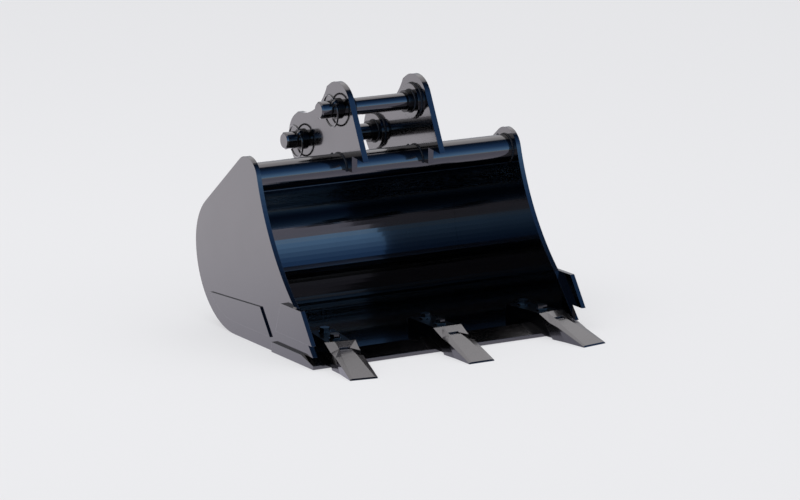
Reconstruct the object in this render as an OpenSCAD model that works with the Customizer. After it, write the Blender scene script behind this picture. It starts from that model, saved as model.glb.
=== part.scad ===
// General purpose digging bucket for a mini excavator.
// Millimetres. The origin is on the dipper pin's axis, midway between the ears.
// X runs across the bucket, the teeth point along -Y and +Z is up.

/* [Bucket] */
// Width over the side plates
bucket_w = 610; // [520:5:760]
// Height of the dipper pin's axis above the ground
pin_height = 445; // [430:1:470]
// Rearmost point of the heel, behind the dipper pin
heel_back = 207; // [190:1:230]
// Radius of the heel from the ground up to its rearmost point
heel_low_r = 163; // [150:1:175]
// Radius of the heel above its rearmost point
heel_up_r = 110; // [90:1:125]
// Slope of the straight back, in degrees from level
back_angle = 37.3; // [34:0.1:40]
// Length of the straight back
back_len = 184; // [175:1:195]

/* [Plates] */
// Thickness of the side plates
side_t = 10; // [8:0.5:12]
// Thickness of the wrapper
wrap_t = 10; // [6:0.5:12]
// How far the side plates stand out past the wrapper
edge_proud = 8; // [6:0.5:10]
// Setback of the wrapper's front end behind the tube's highest point along the back
wrap_start = 9; // [7:0.5:11]
// Where the rounded top runs into the front edge, in degrees round the tube from the rear
nose_turn = 163.8; // [160:0.1:167]
// Height of the front edge's bend above the lip
knee_up = 86; // [78:1:94]
// Distance of the front edge's bend behind its foot
knee_back = 75; // [68:1:82]
// Depth of the hollow in the front edge above the bend
throat_rise = 19.5; // [12:0.5:28]

/* [Torsion tube] */
// Outer diameter of the tube
tube_d = 60; // [56:1:64]
// Wall of the tube
tube_wall = 6; // [4:0.5:8]
// How far the tube is let into the wrapper's inner face
tube_set = 3; // [2.5:0.5:4]

/* [Lip] */
// Thickness of the lip plate
lip_t = 20; // [18:0.5:22]
// How far the lip stands out past each side plate
lip_over = 7; // [4:0.5:8]
// Height of the lip's underside above the ground
lip_up = 1; // [1:0.5:3]
// Distance of the lip's front edge ahead of the dipper pin
lip_front = 288; // [280:1:296]
// Depth of the lip plate from front to back
lip_depth = 167; // [150:1:180]
// Length of the bevel on top of the lip
lip_bevel = 48; // [44:1:54]
// Thickness left at the lip's front edge
lip_nose_t = 7; // [5:0.5:9]
// Setback of the side plates' foot behind the lip's front edge
foot_setback = 13; // [10:1:18]

/* [Ears] */
// Gap between the two ears
ear_gap = 164; // [150:1:180]
// Thickness of an ear
ear_t = 12; // [10:0.5:16]
// Radius of an ear's two lobes
ear_r = 54; // [50:1:58]
// Distance of the link pin behind the dipper pin
link_back = 144; // [135:1:150]
// Distance of the link pin below the dipper pin
link_drop = 86; // [80:1:90]
// Depth of the dip between the two lobes
ear_dip = 21; // [12:1:28]
// Reach of an ear's toe ahead of the tube's axis
toe_reach = 96; // [88:1:104]
// Height of the toe's corner above the tube's axis
toe_up = 27; // [24:1:30]
// Length of the toe that hangs clear ahead of the saddle
toe_len = 46; // [38:1:56]
// Rise of the toe's underside from its corner back to the saddle
toe_rise = 5; // [1:0.5:8]
// Drop of the saddle's underside below the tube's axis
saddle_drop = 0.5; // [0:0.5:4]

/* [Pins] */
// Diameter of the dipper and link pins
pin_d = 35; // [30:1:40]
// Length of a pin past the outer face of the left ear
pin_out = 42; // [38:1:50]
// Diameter of a pin's head, at the right ear
pin_head_d = 50; // [44:1:60]
// Thickness of a pin's head
pin_head_t = 8; // [6:0.5:12]
// Chamfer on a pin's ends
pin_cut = 3; // [1:0.5:4]
// Radial running clearance of a pin in its bores
pin_fit = 0.05; // [0.02:0.01:0.09]
// Outer diameter of a collar
collar_d = 44; // [42:1:50]
// Length of a collar inward from its ear
collar_len = 22; // [16:1:30]
// Outer diameter of the boss outside the left ear
boss_d = 42; // [40:1:43]
// Length of that boss
boss_len = 7; // [4:0.5:7.5]
// Outer diameter of the flange ring round a collar
flange_d = 70; // [60:1:84]
// Thickness of a flange ring
flange_t = 8; // [5:0.5:12]

/* [Linch pins] */
// Diameter of a linch pin's shank
linch_d = 8; // [6:0.5:10]
// Radial clearance of the shank in its cross hole
linch_fit = 0.1; // [0.05:0.01:0.2]
// Distance of the shank from the ear's outer face
linch_out = 14; // [12:0.5:18]
// Turn of the linch pins about the main pins, forward from upright, in degrees
linch_turn = 50; // [40:1:60]
// Diameter of a linch pin's head
linch_head_d = 12; // [11:0.5:15]
// Height of a linch pin's head
linch_head_h = 12; // [10:0.5:15]
// Length of the shank past the underside of the pin
linch_tip = 6.5; // [5:0.5:8]
// Diameter of the ring's wire
wire_d = 4; // [3:0.5:4]
// Diameter of the ring's straight hinge wire
hinge_d = 3.6; // [2.6:0.1:3.7]
// Radial running clearance of the hinge wire in the head
hinge_fit = 0.05; // [0.02:0.01:0.09]
// Radius of the ring, to the middle of its wire
ring_r = 32; // [31:0.5:34]
// Height of the ring's hinge above the top of the pin
hinge_up = 6; // [5.5:0.5:6.5]
// Distance of the ring's middle past the main pin's axis
ring_drop = 6.5; // [5.5:0.5:7.5]
// Lean of the hanging ring toward its ear, in degrees
ring_rest = 6; // [2:0.5:7]

/* [Teeth] */
// Distance of a corner tooth's bolts inside the side plate's outer face
corner_in = 71.5; // [68:0.5:90]
// Outward turn of the two corner teeth, in degrees
splay = 9; // [0:0.5:12]
// Distance of the middle of the bolts behind the lip's front edge
bolts_back = 73; // [68:0.5:78]
// Distance between a tooth's two bolts
bolt_pitch = 57; // [50:1:60]
// Reach of the tips ahead of the lip's front edge
tip_reach = 113; // [105:1:125]
// Overlap of a tooth over the lip, at its top
tooth_lap = 18; // [14:1:21]
// Distance of a tooth's lower rear edge ahead of the lip
tooth_gap = 24; // [20:1:28]
// Width of a tooth at its rear
tooth_w = 64; // [58:1:68]
// Width of a tooth at its waist
waist_w = 57.5; // [54:0.5:60]
// Width of a tooth's tip edge
tip_w = 57; // [48:1:60]
// Thickness of a tooth's tip edge
tip_t = 3; // [2:0.5:5]
// Width of the raised rib at the rear of a tooth
rib_w = 22; // [20:1:24]
// Width of the rib at a tooth's tip
rib_tip_w = 46; // [36:1:52]
// Drop from the rib to a tooth's shoulders at its neck
rib_drop = 5.5; // [3:0.5:7]
// Drop from the rib to a tooth's shoulders at its waist
waist_drop = 2.5; // [1.5:0.5:5]
// Distance of a tooth's neck ahead of its rear edge
neck_in = 26; // [20:1:32]
// Distance of a tooth's waist ahead of its rear edge
waist_in = 50; // [44:1:60]
// Height of a tooth's rear edge above the adapter's strap
tooth_proud = 2; // [1:0.5:4]
// Wall of a tooth over the adapter's nose
tooth_wall = 7; // [6:0.5:8]
// Floor of a tooth under the adapter's nose
tooth_floor = 5; // [4:0.5:7]
// Height of a tooth's underside above the ground
tooth_lift = 0.5; // [0.4:0.1:1.5]
// Distance of the retaining pin ahead of a tooth's rear edge
keeper_in = 27; // [26.5:0.5:30]
// Width of the retaining pin
keeper_w = 22; // [16:1:26]
// Depth of the retaining pin from front to back
keeper_d = 9; // [6:0.5:12]
// Depth of the retaining pin's top below the rib
keeper_sink = 2; // [1:0.5:4]

/* [Adapters] */
// Thickness of an adapter's strap on top of the lip
strap_t = 23; // [20:0.5:25]
// Width of an adapter's strap
strap_w = 50; // [44:1:56]
// Length of a strap behind its rear bolt
strap_tail = 25; // [18:1:32]
// Chamfer on top of the strap's rear edge
strap_cut = 5; // [2:0.5:8]
// Length of an adapter's nose inside its tooth
nose_len = 46; // [42:1:50]
// Width of an adapter's nose
nose_w = 38; // [34:1:44]
// Clearance between a tooth and what it holds
seat_gap = 0.3; // [0.2:0.05:0.5]

/* [Bolts] */
// Diameter of a tooth bolt
bolt_d = 12; // [10:1:14]
// Width of a bolt's head across its flats
bolt_af = 18; // [17:1:19]
// Height of a bolt's head
bolt_head_h = 8; // [6:0.5:10]
// Clearance of a bolt in its holes
bolt_gap = 0.5; // [0.2:0.1:1]
// Outer diameter of a washer
washer_d = 24; // [23:1:28]
// Thickness of a washer
washer_t = 2.5; // [1.5:0.5:4]

/* [Wear parts] */
// Thickness of a side cutter
cutter_t = 9; // [7:0.5:12]
// Height of a side cutter's top edge above the lip
cutter_h = 86.5; // [78:0.5:95]
// Height of a cutter's underside above the lip
blade_up = 26; // [20:1:35]
// Reach of a cutter's lower front corner ahead of the lip's front edge
blade_low = -2; // [-8:1:2]
// Setback of a cutter's upper front corner behind the lip's front edge
blade_high = 45; // [36:1:56]
// Rear end of a cutter behind the lip's front edge, at its top
cutter_len = 125; // [110:1:150]
// Lean of the cutter's rear edge
cutter_lean = 22; // [10:1:30]
// Thickness of a heel wear plate
heel_plate_t = 3.5; // [3:0.5:8]
// Height of a heel wear plate's top front corner above the ground
heel_plate_h = 80; // [60:1:95]
// Fall of a heel plate's top edge from its front end to the heel's rearmost point
heel_plate_fall = 16; // [8:1:20]
// Distance of a heel plate inside the side plate's rounded edge
heel_plate_in = 27; // [22:1:34]
// Front end of a heel plate behind the lip's front edge, at its top
heel_plate_at = 220; // [205:1:235]
// Lean of a heel plate's front edge, over its height above the ground
heel_plate_lean = 61; // [50:1:70]

/* [Hidden] */
$fn = 72;
// Points along each rounded stretch of an outline
arc_steps = 24;
// Overrun of every cutting body past the face that it cuts
over = 1;

half_w = bucket_w / 2;
inner_half = half_w - side_t;
ground_z = -pin_height;
link = [link_back, -link_drop];
dipper = [0, 0];

// Unit vectors along the straight back, downhill, and out of it
back_dir = [cos(back_angle), -sin(back_angle)];
back_out = [sin(back_angle), cos(back_angle)];

// The side plate's rounded top is concentric with the tube, which is let a
// little into the wrapper's inner face.
tube_r = tube_d / 2;
wrap_in_r = tube_r - tube_set;
wrap_out_r = wrap_in_r + wrap_t;
plate_top_r = wrap_out_r + edge_proud;
heel_up_c = [heel_back - heel_up_r, ground_z + heel_low_r];
heel_low_c = [heel_back - heel_low_r, ground_z + heel_low_r];
back_foot = heel_up_c + heel_up_r * back_out;
tube_c = back_foot - back_len * back_dir - plate_top_r * back_out;

// The wrapper's underside ends within the lip's rear face.
lip_w = bucket_w + 2 * lip_over;
lip_z = ground_z + lip_up;
lip_top = lip_z + lip_t;
lip_front_y = -lip_front;
lip_rear_y = lip_front_y + lip_depth;

ear_in = ear_gap / 2;
ear_out = ear_in + ear_t;
pin_half = ear_out + pin_out;
linch_x = ear_out + linch_out;
hinge_z = pin_d / 2 + hinge_up;
ring_chord = sqrt(ring_r * ring_r - (hinge_z + ring_drop) * (hinge_z + ring_drop));

// Teeth: places along Y are measured from the middle of the two bolts.
row_y = lip_front_y + bolts_back;
tooth_pitch = half_w - corner_in;
strap_top = lip_top + strap_t;
tooth_z = ground_z + tooth_lift;
tooth_rear = -bolts_back + tooth_lap;
tooth_low_rear = -bolts_back - tooth_gap;
tooth_tip = -bolts_back - tip_reach;
tooth_top = strap_top + tooth_proud;
rear_lean = (tooth_rear - tooth_low_rear) / (tooth_top - tooth_z);
tip_top = tooth_z + tip_t;
tip_y = tooth_tip + tip_t * rear_lean;
rib_slope = (tooth_top - tip_top) / (tooth_rear - tip_y);
bolt_half = bolt_pitch / 2;
keeper_y = tooth_rear - keeper_in;
keeper_top = rib_z(keeper_y) - keeper_sink;
nose_z = tooth_z + tooth_floor;

// Point at an angle and radius about a centre
function polar(c, r, a) = [c[0] + r * cos(a), c[1] + r * sin(a)];

// Points along an arc about a centre
function arc(c, r, a1, a2) = [
    for (i = [0:arc_steps]) polar(c, r, a1 + (a2 - a1) * i / arc_steps)
];

// Points along an arc from p to q that bulges to the left by the given rise
function bow(p, q, rise) =
    let (
        half = norm(q - p) / 2,
        r = (half * half + rise * rise) / (2 * rise),
        along = (q - p) / (2 * half),
        c = (p + q) / 2 + (r - rise) * [along[1], -along[0]],
        a = atan2(p[1] - c[1], p[0] - c[0]),
        turn = 2 * asin(half / r)
    )
    [for (i = [0:arc_steps]) polar(c, r, a - turn * i / arc_steps)];

function reversed(list) = [for (i = [len(list) - 1:-1:0]) list[i]];

// Back of the bucket from a start beside the tube down, round the heel and
// forward to the lip, at a distance inside the side plate's edge
function back_path(inset, start = 0) = concat(
    [tube_c + (plate_top_r - inset) * back_out + start * back_dir],
    arc(heel_up_c, heel_up_r - inset, 90 - back_angle, 0),
    arc(heel_low_c, heel_low_r - inset, 0, -90),
    [[lip_rear_y, ground_z + inset]]
);

// Outline of a side plate, from its rounded top down the back to its front foot
function side_outline() =
    let (
        foot = [lip_front_y + foot_setback, lip_top],
        knee = foot + [knee_back, knee_up]
    )
    concat(
        arc(tube_c, plate_top_r, nose_turn, 90 - back_angle),
        back_path(0),
        [[lip_rear_y, lip_top], foot],
        reversed(bow(polar(tube_c, plate_top_r, nose_turn), knee, throat_rise))
    );

// Extrudes a Y and Z outline along X from x0
module across(x0, w) {
    translate([x0, 0, 0]) rotate([90, 0, 90]) linear_extrude(w) children();
}

// Cylinder along X about a Y and Z point
module rod(c, x0, w, d) {
    translate([x0, c[0], c[1]]) rotate([0, 90, 0]) cylinder(d = d, h = w);
}

// Draws a right-hand piece, or mirrors it to the left
module on_side(side) {
    if (side < 0) mirror([1, 0, 0]) children();
    else children();
}

// Solid through a row of rings of points with the same number of corners
module loft(rings) {
    n = len(rings[0]);
    last = len(rings) - 1;
    polyhedron(
        points = [for (ring = rings, p = ring) p],
        faces = concat(
            [[for (i = [0:n - 1]) i]],
            [[for (i = [n - 1:-1:0]) last * n + i]],
            [for (k = [0:last - 1], i = [0:n - 1]) [k * n + i, k * n + n + i, k * n + n + (i + 1) % n]],
            [for (k = [0:last - 1], i = [0:n - 1]) [k * n + i, k * n + n + (i + 1) % n, k * n + (i + 1) % n]]
        )
    );
}

module side_plate() {
    across(inner_half, side_t) polygon(side_outline());
}

module wrapper_shell() {
    color([0.13, 0.14, 0.17])
        across(-inner_half, 2 * inner_half)
            difference() {
                polygon(concat(
                    back_path(edge_proud, wrap_start),
                    reversed(back_path(edge_proud + wrap_t, wrap_start))
                ));
                translate(tube_c) circle(d = tube_d);
            }
}

// Lip plate without its holes, reaching lower by sink where it cuts other pieces
module lip_body(sink = 0) {
    across(-lip_w / 2, lip_w) polygon([
        [lip_rear_y, lip_z - sink], [lip_rear_y, lip_top], [lip_front_y + lip_bevel, lip_top],
        [lip_front_y, lip_z + lip_nose_t], [lip_front_y, lip_z - sink]
    ]);
}

module lip_plate() {
    color([0.12, 0.12, 0.14])
        difference() {
            lip_body();
            for (i = [-1:1], s = [-1, 1])
                at_tooth(i) translate([0, s * bolt_half, lip_z - over])
                    cylinder(d = bolt_d + 2 * bolt_gap, h = lip_t + 2 * over);
        }
}

module torsion_tube() {
    color([0.2, 0.21, 0.24])
        difference() {
            rod(tube_c, -inner_half, 2 * inner_half, tube_d);
            rod(tube_c, -inner_half - over, 2 * (inner_half + over), tube_d - 2 * tube_wall);
        }
}

// Ear: two lobes round the pins on a web that stands on the wrapper, wraps
// the top and front of the tube as a saddle and ends in a toe ahead of it
module ear_outline() {
    pitch = norm(link);
    along = link / pitch;
    up = [-along[1], along[0]];
    dip_r = (pitch * pitch / 4 + ear_dip * (ear_dip - 2 * ear_r)) / (2 * ear_dip);
    toe = tube_c + [-toe_reach, toe_up];
    toe_a = atan2(toe[1], toe[0]) - acos(ear_r / norm(toe));
    wrap_at = tube_c + wrap_out_r * back_out;
    heel = wrap_at + (back_dir * (link - wrap_at) + ear_r) * back_dir;
    difference() {
        union() {
            circle(r = ear_r);
            translate(link) circle(r = ear_r);
            polygon([
                polar(dipper, ear_r, toe_a),
                toe,
                toe + [toe_len, toe_rise],
                [toe[0] + toe_len, tube_c[1] - saddle_drop],
                tube_c + [0, -saddle_drop],
                tube_c + wrap_in_r * back_out + wrap_start * back_dir,
                wrap_at + wrap_start * back_dir,
                heel,
                link + ear_r * back_dir,
                link + ear_r * up,
                ear_r * up
            ]);
        }
        translate(link / 2 + (ear_r - ear_dip + dip_r) * up) circle(r = dip_r, $fn = 120);
        translate(tube_c) circle(d = tube_d);
        for (c = [dipper, link]) translate(c) circle(d = pin_d + 2 * pin_fit);
    }
}

module ear() {
    across(ear_in, ear_t) ear_outline();
}

// Sleeve on the inner face of an ear
module collar(c) {
    difference() {
        rod(c, ear_in - collar_len, collar_len, collar_d);
        rod(c, ear_in - collar_len - over, collar_len + 2 * over, pin_d + 2 * pin_fit);
    }
}

// Boss round a pin on the outer face of an ear
module boss(c) {
    difference() {
        rod(c, ear_out, boss_len, boss_d);
        rod(c, ear_out - over, boss_len + 2 * over, pin_d + 2 * pin_fit);
    }
}

// Ring round a collar, against the ear
module flange_ring(c) {
    difference() {
        rod(c, ear_in - flange_t, flange_t, flange_d);
        rod(c, ear_in - flange_t - over, flange_t + 2 * over, collar_d);
    }
}

// Turns a linch pin's own frame to its place on a main pin
module at_linch(c) {
    translate([linch_x, c[0], c[1]]) rotate([linch_turn, 0, 0]) children();
}

// Main pin with a head at the right ear and a cross hole at the left end
module main_pin(c) {
    body_half = pin_half - pin_cut;
    head_x = ear_out + seat_gap;
    rim_x = head_x + pin_head_t - pin_cut;
    difference() {
        union() {
            rod(c, -body_half, body_half + rim_x, pin_d);
            rod(c, head_x, pin_head_t - pin_cut, pin_head_d);
            translate([rim_x, c[0], c[1]]) rotate([0, 90, 0])
                cylinder(d1 = pin_head_d, d2 = pin_head_d - 2 * pin_cut, h = pin_cut);
            translate([-body_half, c[0], c[1]]) rotate([0, -90, 0])
                cylinder(d1 = pin_d, d2 = pin_d - 2 * pin_cut, h = pin_cut);
        }
        on_side(-1) at_linch(c) translate([0, 0, -pin_d])
            cylinder(d = linch_d + 2 * linch_fit, h = 2 * pin_d);
    }
}

// Linch pin: a shank through the main pin under a bored head
module linch_pin(c) {
    head_z = pin_d / 2 + seat_gap;
    shank_low = -pin_d / 2 - linch_tip;
    cut = linch_d / 4;
    at_linch(c) difference() {
        union() {
            translate([0, 0, shank_low]) cylinder(d1 = linch_d - 2 * cut, d2 = linch_d, h = cut);
            translate([0, 0, shank_low + cut])
                cylinder(d = linch_d, h = head_z - shank_low - cut + over);
            translate([0, 0, head_z]) cylinder(d = linch_head_d, h = linch_head_h - cut);
            translate([0, 0, head_z + linch_head_h - cut])
                cylinder(d1 = linch_head_d, d2 = linch_head_d - 2 * cut, h = cut);
        }
        translate([0, linch_head_d, hinge_z]) rotate([90, 0, 0])
            cylinder(d = hinge_d + 2 * hinge_fit, h = 2 * linch_head_d);
    }
}

// Ring of a linch pin: a straight hinge wire closed by a round bow, leaning
// toward the ear about its hinge
module linch_ring(c) {
    start = atan2(hinge_z + ring_drop, ring_chord);
    at_linch(c) translate([0, 0, hinge_z]) rotate([0, ring_rest, 0]) {
        translate([0, ring_chord + hinge_d / 4, 0]) rotate([90, 0, 0])
            cylinder(d = hinge_d, h = 2 * ring_chord + hinge_d / 2);
        translate([0, 0, -hinge_z - ring_drop]) rotate([90, 0, 90]) rotate([0, 0, 180 - start])
            rotate_extrude(angle = 180 + 2 * start)
                translate([ring_r, 0]) circle(d = wire_d, $fn = 24);
    }
}

// Moves a tooth's own frame to its place on the lip: i is -1, 0 or 1
module at_tooth(i) {
    translate([i * tooth_pitch, row_y, 0]) rotate([0, 0, i * splay]) children();
}

// Extrudes a Y and Z outline over a width centred on X
module centred(w) {
    across(-w / 2, w) children();
}

// Height of the rib on a tooth at a place along it
function rib_z(y) = tooth_top - (tooth_rear - y) * rib_slope;

// Place of a tooth's leaning rear face at a height
function rear_y(z) = tooth_rear - (tooth_top - z) * rear_lean;

// Outline of the adapter's nose, grown by a gap
function nose_outline(gap) = [
    [tooth_rear + over, rib_z(tooth_rear + over) - tooth_wall + gap],
    [tooth_rear - nose_len - gap, rib_z(tooth_rear - nose_len - gap) - tooth_wall + gap],
    [tooth_rear - nose_len - gap, nose_z - gap],
    [tooth_rear + over, nose_z - gap]
];

module keeper_body(gap, top) {
    translate([-keeper_w / 2 - gap, keeper_y - keeper_d / 2 - gap, nose_z - gap])
        cube([keeper_w + 2 * gap, keeper_d + 2 * gap, top - nose_z + gap]);
}

// Adapter: a strap on the lip, a block ahead of it and a nose inside the tooth
module adapter(i) {
    difference() {
        at_tooth(i) union() {
            centred(strap_w) polygon([
                [bolt_half + strap_tail, strap_top - strap_cut],
                [bolt_half + strap_tail - strap_cut, strap_top],
                [rear_y(strap_top), strap_top],
                [rear_y(lip_z), lip_z],
                [-bolts_back + strap_w / 2, lip_z],
                [bolt_half + strap_tail, lip_z + lip_t / 2]
            ]);
            centred(nose_w) polygon(nose_outline(0));
        }
        lip_body(over);
        at_tooth(i) {
            for (s = [-1, 1]) translate([0, s * bolt_half, lip_z - over])
                cylinder(d = bolt_d + 2 * bolt_gap, h = lip_t + strap_t + 2 * over);
            keeper_body(seat_gap, tooth_top + over);
        }
    }
}

// Corners of a tooth across its length: a floor, two shoulders and a rib
function tooth_ring(y, top, w, rib, drop) = [
    for (p = [
        [-w / 2, tooth_z], [w / 2, tooth_z], [w / 2, top - drop],
        [rib / 2, top], [-rib / 2, top], [-w / 2, top - drop]
    ]) [p[0], y - (top - p[1]) * rear_lean, p[1]]
];

// Tooth: a wedge, flat across at its rear, with a rib that widens to the tip,
// hollow over the nose
module tooth(i) {
    waist_rib = rib_w + (rib_tip_w - rib_w) * waist_in / (tooth_rear - tip_y);
    at_tooth(i) difference() {
        loft([
            tooth_ring(tooth_rear, tooth_top, tooth_w, rib_w, 0),
            tooth_ring(tooth_rear - neck_in, rib_z(tooth_rear - neck_in),
                (tooth_w + waist_w) / 2, rib_w, rib_drop),
            tooth_ring(tooth_rear - waist_in, rib_z(tooth_rear - waist_in), waist_w, waist_rib, waist_drop),
            tooth_ring(tip_y, tip_top, tip_w, rib_tip_w, tip_t / 3)
        ]);
        centred(nose_w + 2 * seat_gap) polygon(nose_outline(seat_gap));
        keeper_body(seat_gap, tooth_top + over);
    }
}

// Retaining pin with a rounded top
module keeper(i) {
    fit = -seat_gap / 3;
    round_d = keeper_d + 2 * fit;
    at_tooth(i) {
        keeper_body(fit, keeper_top - round_d / 2);
        rod([keeper_y, keeper_top - round_d / 2], -keeper_w / 2 - fit, keeper_w + 2 * fit, round_d);
    }
}

module bolt() {
    translate([0, 0, lip_z + over]) cylinder(d = bolt_d, h = lip_t + strap_t + washer_t);
    translate([0, 0, strap_top + washer_t])
        cylinder(d = bolt_af / cos(30), h = bolt_head_h, $fn = 6);
}

module washer() {
    translate([0, 0, strap_top]) difference() {
        cylinder(d = washer_d, h = washer_t);
        translate([0, 0, -over])
            cylinder(d = bolt_d + 2 * bolt_gap, h = washer_t + 2 * over);
    }
}

module each_bolt() {
    for (i = [-1:1], s = [-1, 1]) at_tooth(i) translate([0, s * bolt_half, 0]) children();
}

// Side cutter: a four-sided plate on the side plate, reaching ahead of it
module side_cutter() {
    top = lip_top + cutter_h;
    low = lip_top + blade_up;
    rear = lip_front_y + cutter_len;
    across(half_w, cutter_t) polygon([
        [rear, top], [lip_front_y + blade_high, top],
        [lip_front_y - blade_low, low], [rear + cutter_lean, low]
    ]);
}

// Wear plate over the lower part of a side plate's heel
module heel_plate() {
    top = ground_z + heel_plate_h;
    front = lip_front_y + heel_plate_at;
    across(half_w, heel_plate_t) intersection() {
        polygon(concat(back_path(heel_plate_in), [[lip_rear_y, tube_c[1]]]));
        polygon([
            [heel_back, top - heel_plate_fall], [front, top],
            [front - heel_plate_lean, ground_z], [heel_back, ground_z]
        ]);
    }
}

paint = [0.16, 0.16, 0.19];
steel = [0.62, 0.63, 0.65];
dark = [0.1, 0.1, 0.12];

color(paint) on_side(-1) side_plate();  // side_plate_left
color(paint) on_side(1) side_plate();  // side_plate_right
wrapper_shell();
lip_plate();
torsion_tube();
color(paint) on_side(-1) ear();  // ear_left
color(paint) on_side(1) ear();  // ear_right
color(paint) on_side(-1) collar(dipper);  // dipper_collar_left
color(paint) on_side(1) collar(dipper);  // dipper_collar_right
color(paint) on_side(-1) collar(link);  // link_collar_left
color(paint) on_side(1) collar(link);  // link_collar_right
color(paint) on_side(-1) flange_ring(dipper);  // dipper_flange_left
color(paint) on_side(1) flange_ring(dipper);  // dipper_flange_right
color(paint) on_side(-1) flange_ring(link);  // link_flange_left
color(paint) on_side(1) flange_ring(link);  // link_flange_right
color(paint) on_side(-1) boss(dipper);  // dipper_boss
color(paint) on_side(-1) boss(link);  // link_boss
color(steel) main_pin(dipper);  // dipper_pin
color(steel) main_pin(link);  // link_pin
color(dark) on_side(-1) linch_pin(dipper);  // dipper_linch
color(dark) on_side(-1) linch_pin(link);  // link_linch
color(steel) on_side(-1) linch_ring(dipper);  // dipper_ring
color(steel) on_side(-1) linch_ring(link);  // link_ring
color(dark) adapter(-1);  // adapter_left
color(dark) adapter(0);  // adapter_middle
color(dark) adapter(1);  // adapter_right
color(dark) tooth(-1);  // tooth_left
color(dark) tooth(0);  // tooth_middle
color(dark) tooth(1);  // tooth_right
color(steel) keeper(-1);  // keeper_left
color(steel) keeper(0);  // keeper_middle
color(steel) keeper(1);  // keeper_right
color(dark) each_bolt() bolt();  // tooth_bolts
color(dark) each_bolt() washer();  // tooth_washers
color(paint) on_side(-1) side_cutter();  // side_cutter_left
color(paint) on_side(1) side_cutter();  // side_cutter_right
color(paint) on_side(-1) heel_plate();  // heel_plate_left
color(paint) on_side(1) heel_plate();  // heel_plate_right
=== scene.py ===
"""Digging bucket for a mini excavator: paint, weld beads, floor, light and camera."""

import math

import bpy
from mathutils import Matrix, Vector


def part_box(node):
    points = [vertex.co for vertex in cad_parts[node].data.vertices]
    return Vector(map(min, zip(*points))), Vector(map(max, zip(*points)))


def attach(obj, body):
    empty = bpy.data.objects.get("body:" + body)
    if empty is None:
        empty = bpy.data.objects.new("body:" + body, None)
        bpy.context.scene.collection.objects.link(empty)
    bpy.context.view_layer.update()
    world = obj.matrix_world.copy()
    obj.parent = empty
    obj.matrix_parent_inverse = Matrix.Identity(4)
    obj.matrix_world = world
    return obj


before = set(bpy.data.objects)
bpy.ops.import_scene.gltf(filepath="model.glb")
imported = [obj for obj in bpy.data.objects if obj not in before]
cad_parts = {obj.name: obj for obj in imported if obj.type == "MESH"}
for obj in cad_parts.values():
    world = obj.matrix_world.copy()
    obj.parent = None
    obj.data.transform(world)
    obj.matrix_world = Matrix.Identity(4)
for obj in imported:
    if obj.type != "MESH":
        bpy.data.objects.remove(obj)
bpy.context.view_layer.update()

bl_info = {
    "name": "Digging Bucket",
    "version": (1, 0, 0),
    "blender": (4, 5, 0),
    "location": "View3D > Sidebar > Bucket",
    "description": "Paints and dresses a mini excavator's digging bucket",
    "category": "Object",
}

SIDES = {"left": -1, "right": 1}
TRIO = ("left", "middle", "right")
PINS = ("dipper", "link")


def box_of(node):
    """Lowest and highest corner of a solid, as vectors."""
    low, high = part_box(node)
    return Vector(low), Vector(high)


def centre_of(node):
    """Middle of a solid's box."""
    low, high = box_of(node)
    return (low + high) / 2


# Sizes of the shell's profile that the solids' boxes don't give, in metres
HEEL_LOW_R = 0.163
HEEL_UP_R = 0.110
BACK_ANGLE = math.radians(37.3)
EDGE_PROUD = 0.008
WRAP_T = 0.010
WRAP_START = 0.009
TUBE_SET = 0.003
SADDLE_DROP = 0.0005

PLATE_LOW, PLATE_HIGH = box_of("side_plate_right")
EAR_LOW, EAR_HIGH = box_of("ear_right")
TUBE_LOW, TUBE_HIGH = box_of("torsion_tube")
TUBE = (TUBE_LOW + TUBE_HIGH) / 2
TUBE_R = (TUBE_HIGH.z - TUBE_LOW.z) / 2
WRAP_OUT_R = TUBE_R - TUBE_SET + WRAP_T
GROUND_Z = PLATE_LOW.z
PLATE_IN_X = PLATE_LOW.x
BACK_DIR = Vector((0, math.cos(BACK_ANGLE), -math.sin(BACK_ANGLE)))
BACK_OUT = Vector((0, math.sin(BACK_ANGLE), math.cos(BACK_ANGLE)))

# Camera, fitted to the photograph's view of the bucket
CAMERA_AIM = Vector((-0.0281, -0.1353, -0.2694))
CAMERA_AZIMUTH = math.radians(-30.5)
CAMERA_ELEVATION = math.radians(12.778)
CAMERA_DISTANCE = 7.9637
CAMERA_LENS = 180.82

# Scales of the noise in paint and steel, per metre
SWELL_SCALE = 22.0
MARK_SCALE = 6.5
SKIN_SCALE = 420.0
SCRATCH_SCALE = 160.0
BLOTCH_SCALE = 30.0

# Radii of the small parts' edges, in metres
PIN_EDGE = 0.0006
LINCH_EDGE = 0.0005
CAST_EDGE = 0.0012
FORGED_EDGE = 0.0014
BEAD_EDGE = 0.0004

# Roughness and clear coat of the duller blacks
SATIN = 0.3
BOLT_GLOSS = 0.22
DULL_COAT = 0.3
FORGED_COAT = 0.15
STEEL = (0.30, 0.30, 0.32)

# Studio colours that only gloss reflects
FLOOR_FRONT = (0.56, 0.56, 0.70, 1)
FLOOR_BACK = (1.28, 1.24, 1.32, 1)
HORIZON = (1.0, 1.10, 0.98, 1)
SKY_LOW = (0.46, 0.92, 1.55, 1)
SKY_HIGH = (0.08, 0.22, 0.54, 1)
SKY_TOP = (0.004, 0.012, 0.03, 1)
WALL_LOW = (0.42, 0.43, 0.47, 1)
WALL_HIGH = (1.22, 1.19, 1.21, 1)

# Light that falls on every dull surface
SOFT_WHITE = (0.85, 0.86, 0.88, 1)

# Softboxes: name, place, width in metres and share of the key light's power
SOFTBOXES = (
    ("softbox over", (-1.2, 0.4, 3.2), 3.0, 1.0),
    ("softbox front", (2.2, -3.6, 2.0), 2.2, 0.35),
)


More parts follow.
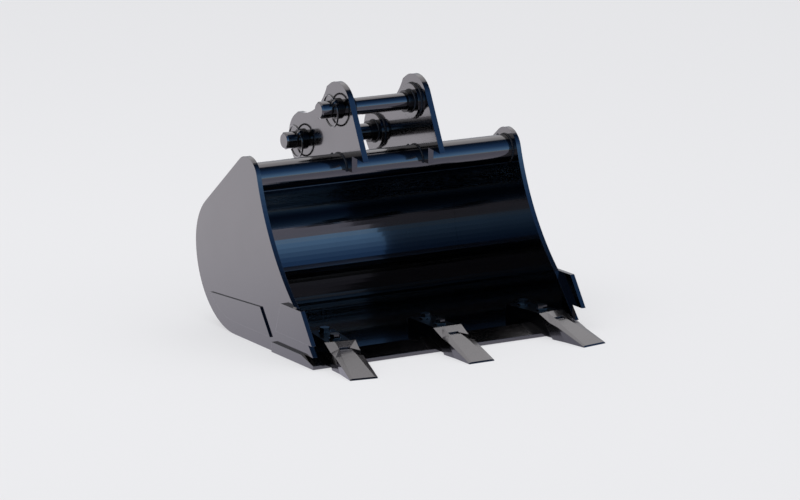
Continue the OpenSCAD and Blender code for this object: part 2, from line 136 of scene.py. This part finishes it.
class BucketPaint(bpy.types.PropertyGroup):
    """Colours and gloss of the painted parts."""

    paint: bpy.props.FloatVectorProperty(
        name="Paint", description="Tint of the gloss paint's reflections",
        subtype="COLOR", size=3, min=0, max=1, default=(0.072, 0.070, 0.074))
    # The darker black is partly the own duller finish of adapters, bolts and linch pins, and partly
    # painted shade: on collars, bosses and weld beads it stands in for the shade and dark reflections at
    # the joints and between the ears.
    black: bpy.props.FloatVectorProperty(
        name="Black", description="Tint of the darker paint on adapters, bolts, collars and welds",
        subtype="COLOR", size=3, min=0, max=1, default=(0.020, 0.020, 0.022))
    roughness: bpy.props.FloatProperty(
        name="Roughness", description="Roughness of the gloss paint",
        min=0, max=1, default=0.14)
    peel: bpy.props.FloatProperty(
        name="Orange peel", description="Width of the dimples in the paint",
        subtype="DISTANCE", unit="LENGTH", min=0.0005, default=0.0016)
    edge: bpy.props.FloatProperty(
        name="Edge radius", description="Radius of the paint over the plates' edges",
        subtype="DISTANCE", unit="LENGTH", min=0, default=0.0011)


class BucketWelds(bpy.types.PropertyGroup):
    """Sizes of the weld beads."""

    leg: bpy.props.FloatProperty(
        name="Leg", description="Leg of a fillet weld",
        subtype="DISTANCE", unit="LENGTH", min=0.001, default=0.0028)
    pitch: bpy.props.FloatProperty(
        name="Ripple pitch", description="Distance between a weld's ripples",
        subtype="DISTANCE", unit="LENGTH", min=0.001, default=0.0019)
    seed: bpy.props.IntProperty(
        name="Seed", description="Seed of the ripples' unevenness", min=0, default=7)


class BucketStage(bpy.types.PropertyGroup):
    """Floor, backdrop and light."""

    floor: bpy.props.FloatProperty(
        name="Floor size", description="Width of the floor",
        subtype="DISTANCE", unit="LENGTH", min=1, default=60)
    pale: bpy.props.FloatVectorProperty(
        name="Backdrop", description="Colour of the floor and the backdrop",
        subtype="COLOR", size=3, min=0, max=1, default=(0.8148, 0.8148, 0.8308))
    key: bpy.props.FloatProperty(
        name="Key light", description="Power of the overhead softbox",
        subtype="POWER", unit="POWER", min=0, default=42)


class Value:
    """A number in a node tree. Operators on it add Math nodes."""

    def __init__(self, tree, socket):
        self.tree = tree
        self.socket = socket

    def math(self, operation, first, second):
        """Result of a Math node on two numbers."""
        return self.tree.add("ShaderNodeMath", {"operation": operation}, {0: first, 1: second}).out()

    def __add__(self, other):
        return self.math("ADD", self, other)

    def __radd__(self, other):
        return self.math("ADD", other, self)

    def __mul__(self, other):
        return self.math("MULTIPLY", self, other)

    def __rmul__(self, other):
        return self.math("MULTIPLY", other, self)

    def band(self, low, high):
        """0 below low and 1 above high, with a smooth rise between them."""
        settings = {"interpolation_type": "SMOOTHSTEP"}
        inputs = {"Value": self, "From Min": low, "From Max": high}
        return self.tree.add("ShaderNodeMapRange", settings, inputs).out()


class Added:
    """A node that a tree has just been given."""

    def __init__(self, tree, node):
        self.tree = tree
        self.node = node

    def out(self, name=0):
        """One of the node's outputs, as a number that can be worked with."""
        return Value(self.tree, self.node.outputs[name])


class Tree:
    """A node tree that is written as code."""

    def __init__(self, node_tree):
        self.nodes = node_tree.nodes
        self.links = node_tree.links
        self.nodes.clear()

    def add(self, kind, settings=None, inputs=None):
        """Adds a node, makes its settings and then sets or links its sockets."""
        node = self.nodes.new(kind)
        for name, setting in (settings or {}).items():
            setattr(node, name, setting)
        for name, value in (inputs or {}).items():
            if isinstance(value, Value):
                self.links.new(value.socket, node.inputs[name])
            else:
                node.inputs[name].default_value = value
        return Added(self, node)

    def mix(self, factor, first, second):
        """Blend of two colours."""
        inputs = {0: factor, 6: first, 7: second}
        return self.add("ShaderNodeMix", {"data_type": "RGBA"}, inputs).out(2)

    def place(self):
        """Object coordinates."""
        return self.add("ShaderNodeTexCoord").out("Object")

    def noise(self, place, scale, detail=2.0, roughness=0.5):
        """Grey noise with features about 1 / scale metres wide."""
        inputs = {"Vector": place, "Scale": scale, "Detail": detail, "Roughness": roughness}
        return self.add("ShaderNodeTexNoise", {"noise_dimensions": "3D"}, inputs).out()

    def parts(self, place):
        """X, Y and Z of a vector."""
        split = self.add("ShaderNodeSeparateXYZ", None, {0: place})
        return split.out(0), split.out(1), split.out(2)

    def bump(self, height, strength, distance, edge):
        """Normal over rounded edges, with a height on top."""
        rounded = self.add("ShaderNodeBevel", {"samples": 6}, {"Radius": edge}).out("Normal")
        inputs = {"Strength": strength, "Distance": distance, "Height": height, "Normal": rounded}
        return self.add("ShaderNodeBump", None, inputs).out("Normal")

    def show(self, shader, kind="ShaderNodeOutputMaterial"):
        """Joins a shader to the tree's output."""
        self.add(kind, None, {"Surface": shader.out()})


def rgba(colour, scale=1.0):
    """Colour with an alpha of 1."""
    return (colour[0] * scale, colour[1] * scale, colour[2] * scale, 1.0)


def new_material(name):
    """Empty material and its tree."""
    material = bpy.data.materials.new(name)
    material.use_nodes = True
    return material, Tree(material.node_tree)


def gloss_paint(name, tint, roughness, peel, edge, grain=0.0, coat=1.0):
    """Gloss paint over steel: fine orange peel, faint polishing marks and rounded edges.

    grain adds the coarser skin of a casting or a weld, and a lower coat gives a duller black.
    """
    material, tree = new_material(name)
    place = tree.place()
    dimples = tree.noise(place, 1 / peel, 1.5)
    swell = tree.noise(place, SWELL_SCALE)
    marks = tree.noise(place, MARK_SCALE, 5.0, 0.62)
    skin = tree.noise(place, SKIN_SCALE, 4.0, 0.7)
    haze = marks.band(0.46, 0.72)
    height = dimples * 0.30 + swell * 0.55 + skin * grain
    tree.show(tree.add("ShaderNodeBsdfPrincipled", None, {
        "Base Color": tree.mix(haze * 0.5, rgba(tint), rgba(tint, 0.82)),
        "Metallic": 1.0,
        "Roughness": haze * 0.05 + roughness,
        "Coat Weight": coat,
        "Coat Roughness": 0.05,
        "Normal": tree.bump(height, 0.10 + 0.30 * grain, 0.0004, edge),
    }))
    return material


def bare_steel(name, tint, roughness, edge):
    """Dull drawn steel with fine scratches across X."""
    material, tree = new_material(name)
    place = tree.place()
    stretched = tree.add("ShaderNodeMapping", None, {"Vector": place, "Scale": (9.0, 1.0, 1.0)}).out()
    scratches = tree.noise(stretched, SCRATCH_SCALE, 3.0, 0.65)
    blotches = tree.noise(place, BLOTCH_SCALE, 3.0)
    tree.show(tree.add("ShaderNodeBsdfPrincipled", None, {
        "Base Color": tree.mix(blotches.band(0.4, 0.7), rgba(tint), rgba(tint, 0.7)),
        "Metallic": 1.0,
        "Roughness": scratches * 0.12 + roughness,
        "Normal": tree.bump(scratches, 0.12, 0.0002, edge),
    }))
    return material


def dress(material, *nodes):
    """Gives CAD solids their material."""
    for node in nodes:
        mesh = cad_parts[node].data
        mesh.materials.clear()
        mesh.materials.append(material)


def arc_points(centre, radius, start, end, count):
    """Points along an arc in the Y and Z plane, with angles in degrees from +Y."""
    points = []
    for i in range(count + 1):
        angle = math.radians(start + (end - start) * i / count)
        points.append(centre + radius * Vector((0, math.cos(angle), math.sin(angle))))
    return points


def ring_path(centre, radius, x):
    """Closed circle about an axis along X."""
    return arc_points(Vector((x, centre.y, centre.z)), radius, 0, 360, 60)


def wrap_top(radius):
    """Place where the straight back starts beside the tube, at X = 0."""
    return Vector((0, TUBE.y, TUBE.z)) + radius * BACK_OUT + WRAP_START * BACK_DIR


def shell_path(x):
    """Points down the straight back, round the heel and forward to the lip."""
    up = Vector((x, PLATE_HIGH.y - HEEL_UP_R, GROUND_Z + HEEL_LOW_R))
    low = Vector((x, PLATE_HIGH.y - HEEL_LOW_R, GROUND_Z + HEEL_LOW_R))
    lip_rear = Vector((x, box_of("lip_plate")[1].y, GROUND_Z + EDGE_PROUD))
    return (
        [wrap_top(WRAP_OUT_R) + Vector((x, 0, 0))]
        + arc_points(up, HEEL_UP_R - EDGE_PROUD, 90 - math.degrees(BACK_ANGLE), 0, 20)
        + arc_points(low, HEEL_LOW_R - EDGE_PROUD, 0, -90, 24)
        + [lip_rear]
    )


def tube_welds():
    """Beads round the tube at the side plates and over it at the ears' feet."""
    start = 180 + math.degrees(math.asin(SADDLE_DROP / TUBE_R))
    end = 90 - math.degrees(BACK_ANGLE + math.asin(WRAP_START / TUBE_R))
    paths = []
    for sign in SIDES.values():
        paths.append(ring_path(TUBE, TUBE_R, sign * PLATE_IN_X))
        for x in (EAR_LOW.x, EAR_HIGH.x):
            paths.append(arc_points(Vector((sign * x, TUBE.y, TUBE.z)), TUBE_R, start, end, 24))
    return paths


def ear_welds():
    """Beads along the ears' feet on the wrapper."""
    start = wrap_top(WRAP_OUT_R)
    ear_r = EAR_HIGH.z - centre_of("dipper_pin").z
    reach = (centre_of("link_pin") - start).dot(BACK_DIR) + ear_r
    paths = []
    for sign in SIDES.values():
        for x in (EAR_LOW.x, EAR_HIGH.x):
            foot = start + Vector((sign * x, 0, 0))
            paths.append([foot, foot + reach * BACK_DIR])
    return paths


def shell_welds():
    """Beads between the side plates and the wrapper, outside along the back."""
    return [shell_path(sign * PLATE_IN_X) for sign in SIDES.values()]


def collar_welds():
    """Beads round the flange rings, on the ear, and round the collars, on the flange."""
    paths = []
    for pin in PINS:
        centre = centre_of(f"{pin}_pin")
        for side in SIDES:
            flange_low, flange_high = box_of(f"{pin}_flange_{side}")
            collar_low, collar_high = box_of(f"{pin}_collar_{side}")
            ear_face = max(flange_low.x, flange_high.x, key=abs)
            free_face = min(flange_low.x, flange_high.x, key=abs)
            paths.append(ring_path(centre, (flange_high.z - flange_low.z) / 2, ear_face))
            paths.append(ring_path(centre, (collar_high.z - collar_low.z) / 2, free_face))
    return paths


def weld_tree():
    """Geometry nodes that lay a rippled bead along every curve."""
    tree = bpy.data.node_groups.new("weld bead", "GeometryNodeTree")
    for name, direction, kind in (
        ("Geometry", "INPUT", "Geometry"),
        ("Leg", "INPUT", "Float"),
        ("Pitch", "INPUT", "Float"),
        ("Seed", "INPUT", "Int"),
        ("Material", "INPUT", "Material"),
        ("Geometry", "OUTPUT", "Geometry"),
    ):
        tree.interface.new_socket(name, in_out=direction, socket_type="NodeSocket" + kind)
    build = Tree(tree)
    source = build.add("NodeGroupInput")
    spaced = build.add(
        "GeometryNodeResampleCurve", {"mode": "LENGTH"},
        {"Curve": source.out("Geometry"), "Length": source.out("Pitch")})
    ripple = build.add(
        "GeometryNodeMeshUVSphere", None, {"Segments": 10, "Rings": 6, "Radius": source.out("Leg")})
    tangent = build.add("GeometryNodeInputTangent")
    turned = build.add("FunctionNodeAlignEulerToVector", {"axis": "Z"}, {"Vector": tangent.out()})
    uneven = build.add(
        "FunctionNodeRandomValue", {"data_type": "FLOAT_VECTOR"},
        {0: (0.92, 0.92, 0.62), 1: (1.06, 1.06, 0.78), "Seed": source.out("Seed")})
    copies = build.add("GeometryNodeInstanceOnPoints", None, {
        "Points": spaced.out(), "Instance": ripple.out("Mesh"),
        "Rotation": turned.out(), "Scale": uneven.out()})
    real = build.add("GeometryNodeRealizeInstances", None, {"Geometry": copies.out()})
    smooth = build.add("GeometryNodeSetShadeSmooth", None, {"Geometry": real.out()})
    coated = build.add("GeometryNodeSetMaterial", None, {
        "Geometry": smooth.out(), "Material": source.out("Material")})
    build.add("NodeGroupOutput", None, {"Geometry": coated.out()})
    return tree


def bake_beads(name, paths, tree, sizes, material):
    """Mesh piece of weld beads along lists of points."""
    curve = bpy.data.curves.new(name, "CURVE")
    curve.dimensions = "3D"
    for path in paths:
        spline = curve.splines.new("POLY")
        spline.points.add(len(path) - 1)
        for point, place in zip(spline.points, path):
            point.co = (place.x, place.y, place.z, 1.0)
    source = bpy.data.objects.new(name + "_path", curve)
    bpy.context.collection.objects.link(source)
    modifier = source.modifiers.new("beads", "NODES")
    modifier.node_group = tree
    wanted = {"Leg": sizes.leg, "Pitch": sizes.pitch, "Seed": sizes.seed, "Material": material}
    for item in tree.interface.items_tree:
        if item.in_out == "INPUT" and item.name in wanted:
            modifier[item.identifier] = wanted[item.name]
    depsgraph = bpy.context.evaluated_depsgraph_get()
    mesh = bpy.data.meshes.new_from_object(source.evaluated_get(depsgraph))
    mesh.name = name
    bpy.data.objects.remove(source)
    piece = bpy.data.objects.new(name, mesh)
    bpy.context.collection.objects.link(piece)
    return piece


class OBJECT_OT_bucket_paint(bpy.types.Operator):
    """Paint the shell, the ears with their collars, the tube, the lip and the wear plates"""

    bl_idname = "object.bucket_paint"
    bl_label = "Paint the Bucket"

    def execute(self, context):
        sizes = context.scene.bucket_paint
        nodes = [n for n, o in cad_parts.items() if o.type == "MESH"]
        plates = ("side_plate", "wrapper", "lip", "torsion", "ear", "side_cutter", "heel_plate")
        gloss = gloss_paint("gloss black paint", sizes.paint, sizes.roughness, sizes.peel, sizes.edge)
        dress(gloss, *[n for n in nodes if n.startswith(plates) or "flange" in n])
        # Collars and bosses take the darker black as painted shade: it stands in for the dark
        # reflections and shade they sit in between the ears.
        collar_shade_paint = gloss_paint(
            "collar paint with painted shade", sizes.black, sizes.roughness * 2, sizes.peel, sizes.edge,
            coat=DULL_COAT)
        dress(collar_shade_paint, *[n for n in nodes if "collar" in n or "boss" in n])
        return {"FINISHED"}


class OBJECT_OT_bucket_pins(bpy.types.Operator):
    """Finish the main pins, the linch pins and their rings"""

    bl_idname = "object.bucket_pins"
    bl_label = "Finish the Pins"

    def execute(self, context):
        sizes = context.scene.bucket_paint
        pin = gloss_paint("gloss black pin", sizes.paint, sizes.roughness * 0.8, sizes.peel, PIN_EDGE)
        linch = gloss_paint("satin black linch pin", sizes.black, SATIN, sizes.peel, LINCH_EDGE)
        dress(pin, *[f"{p}_pin" for p in PINS])
        dress(linch, *[f"{p}_{part}" for p in PINS for part in ("linch", "ring")])
        return {"FINISHED"}


class OBJECT_OT_bucket_teeth(bpy.types.Operator):
    """Finish the teeth, their adapters, retaining pins and bolts"""

    bl_idname = "object.bucket_teeth"
    bl_label = "Finish the Teeth"

    def execute(self, context):
        sizes = context.scene.bucket_paint
        tooth = gloss_paint(
            "gloss black casting", sizes.paint, sizes.roughness * 1.3, sizes.peel, CAST_EDGE,
            grain=0.25)
        adapter = gloss_paint(
            "black forging", sizes.black, SATIN, sizes.peel, FORGED_EDGE,
            grain=0.5, coat=FORGED_COAT)
        bolt = gloss_paint("black bolt", sizes.black, BOLT_GLOSS, sizes.peel, PIN_EDGE)
        keeper = bare_steel("keeper steel", STEEL, SATIN, PIN_EDGE)
        dress(tooth, *[f"tooth_{i}" for i in TRIO])
        dress(adapter, *[f"adapter_{i}" for i in TRIO])
        dress(keeper, *[f"keeper_{i}" for i in TRIO])
        dress(bolt, "tooth_bolts", "tooth_washers")
        return {"FINISHED"}


class OBJECT_OT_bucket_welds(bpy.types.Operator):
    """Lay weld beads along the joints of the plates"""

    bl_idname = "object.bucket_welds"
    bl_label = "Lay the Welds"

    def execute(self, context):
        paint = context.scene.bucket_paint
        # The beads take the darker black as painted shade: it stands in for the contact shadow and dark
        # reflections along the joints.
        material = gloss_paint(
            "weld paint with painted shade", paint.black, paint.roughness * 1.6, paint.peel, BEAD_EDGE,
            grain=0.4, coat=DULL_COAT)
        tree = weld_tree()
        groups = {
            "tube_welds": tube_welds(),
            "ear_welds": ear_welds(),
            "shell_welds": shell_welds(),
            "collar_welds": collar_welds(),
        }
        for name, paths in groups.items():
            piece = bake_beads(name, paths, tree, context.scene.bucket_welds, material)
            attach(piece, "bucket")
        return {"FINISHED"}


def floor_material(stage):
    """Pale floor: its own colour and shadow to the camera, and a studio's light and shade to gloss."""
    material, tree = new_material("pale floor")
    x, y, z = tree.parts(tree.place())
    rays = tree.add("ShaderNodeLightPath")
    behind = (y + x * -0.35).band(-1.2, 1.4)
    mirrored = tree.add("ShaderNodeEmission", None, {"Color": tree.mix(behind, FLOOR_FRONT, FLOOR_BACK)})
    seen = tree.add("ShaderNodeEmission", None, {"Color": rgba(stage.pale)})
    lit = tree.add("ShaderNodeBsdfDiffuse", None, {"Color": rgba(stage.pale, 0.98)})
    shaded = tree.add("ShaderNodeMixShader", None, {0: 0.35, 1: seen.out(), 2: lit.out()})
    plain = tree.add(
        "ShaderNodeMixShader", None, {0: rays.out("Is Camera Ray"), 1: lit.out(), 2: shaded.out()})
    tree.show(tree.add(
        "ShaderNodeMixShader", None, {0: rays.out("Is Glossy Ray"), 1: plain.out(), 2: mirrored.out()}))
    return material


def light_world(stage):
    """Pale backdrop for the camera, soft white light, and a studio that only gloss shows.

    The studio is a blue sky in front, dark overhead, with a pale wall behind.
    """
    world = bpy.data.worlds.new("studio")
    bpy.context.scene.world = world
    world.use_nodes = True
    tree = Tree(world.node_tree)
    x, y, z = tree.parts(tree.add("ShaderNodeTexCoord").out("Generated"))
    rays = tree.add("ShaderNodeLightPath")
    blue = tree.mix(z.band(0.02, 0.62), SKY_LOW, SKY_HIGH)
    deep = tree.mix(z.band(0.55, 0.95), blue, SKY_TOP)
    sky = tree.mix(z.band(0.015, 0.07), HORIZON, deep)
    wall = tree.mix(z.band(0.25, 0.70), WALL_LOW, WALL_HIGH)
    studio = tree.mix(y.band(-0.06, 0.10), sky, wall)
    soft = tree.mix(rays.out("Is Glossy Ray"), SOFT_WHITE, studio)
    colour = tree.mix(rays.out("Is Camera Ray"), soft, rgba(stage.pale))
    tree.show(tree.add("ShaderNodeBackground", None, {"Color": colour}), "ShaderNodeOutputWorld")


def add_floor(stage):
    """Large level floor under the bucket."""
    half = stage.floor / 2
    corners = [(x, y, GROUND_Z) for x, y in ((-half, -half), (half, -half), (half, half), (-half, half))]
    mesh = bpy.data.meshes.new("floor")
    mesh.from_pydata(corners, [], [(0, 1, 2, 3)])
    mesh.materials.append(floor_material(stage))
    floor = bpy.data.objects.new("floor", mesh)
    bpy.context.collection.objects.link(floor)


def add_softbox(name, place, aim, size, power):
    """Area light that points at a place."""
    lamp = bpy.data.lights.new(name, "AREA")
    lamp.shape = "SQUARE"
    lamp.size = size
    lamp.energy = power
    holder = bpy.data.objects.new(name, lamp)
    holder.location = place
    holder.rotation_euler = (aim - place).to_track_quat("-Z", "Y").to_euler()
    holder.visible_glossy = False
    bpy.context.collection.objects.link(holder)


def add_camera():
    """Camera at the photograph's place."""
    flat = math.cos(CAMERA_ELEVATION)
    look = Vector((
        -math.sin(CAMERA_AZIMUTH) * flat,
        math.cos(CAMERA_AZIMUTH) * flat,
        -math.sin(CAMERA_ELEVATION),
    ))
    camera = bpy.data.cameras.new("camera")
    camera.lens = CAMERA_LENS
    camera.sensor_width = 36.0
    camera.clip_end = 200.0
    holder = bpy.data.objects.new("camera", camera)
    holder.location = CAMERA_AIM - CAMERA_DISTANCE * look
    holder.rotation_euler = look.to_track_quat("-Z", "Y").to_euler()
    bpy.context.collection.objects.link(holder)
    bpy.context.scene.camera = holder


class OBJECT_OT_bucket_stage(bpy.types.Operator):
    """Add the floor, the soft light, the backdrop and the camera"""

    bl_idname = "object.bucket_stage"
    bl_label = "Set the Stage"

    def execute(self, context):
        stage = context.scene.bucket_stage
        add_floor(stage)
        light_world(stage)
        aim = Vector((0, 0, GROUND_Z / 2))
        for name, place, size, share in SOFTBOXES:
            add_softbox(name, Vector(place), aim, size, stage.key * share)
        add_camera()
        context.scene.view_settings.view_transform = "Standard"
        return {"FINISHED"}


class VIEW3D_PT_bucket(bpy.types.Panel):
    """Sizes, colours and steps of the digging bucket"""

    bl_idname = "VIEW3D_PT_bucket"
    bl_label = "Digging Bucket"
    bl_space_type = "VIEW_3D"
    bl_region_type = "UI"
    bl_category = "Bucket"

    def draw(self, context):
        for name in GROUPS:
            group = getattr(context.scene, name)
            column = self.layout.column(align=True)
            for size in group.__annotations__:
                column.prop(group, size)
        for step in STEPS:
            self.layout.operator(step.bl_idname)


GROUPS = {"bucket_paint": BucketPaint, "bucket_welds": BucketWelds, "bucket_stage": BucketStage}
STEPS = (
    OBJECT_OT_bucket_stage,
    OBJECT_OT_bucket_paint,
    OBJECT_OT_bucket_pins,
    OBJECT_OT_bucket_teeth,
    OBJECT_OT_bucket_welds,
)


def register():
    """Adds the classes and the scene's settings."""
    for cls in (*GROUPS.values(), *STEPS, VIEW3D_PT_bucket):
        bpy.utils.register_class(cls)
    for name, cls in GROUPS.items():
        setattr(bpy.types.Scene, name, bpy.props.PointerProperty(type=cls))


def unregister():
    """Removes the classes and the scene's settings."""
    for name in GROUPS:
        delattr(bpy.types.Scene, name)
    for cls in reversed((*GROUPS.values(), *STEPS, VIEW3D_PT_bucket)):
        bpy.utils.unregister_class(cls)


def main():
    """Builds the whole scene."""
    register()
    bpy.ops.object.bucket_stage()
    bpy.ops.object.bucket_paint()
    bpy.ops.object.bucket_pins()
    bpy.ops.object.bucket_teeth()
    bpy.ops.object.bucket_welds()


if __name__ == "__main__":
    main()
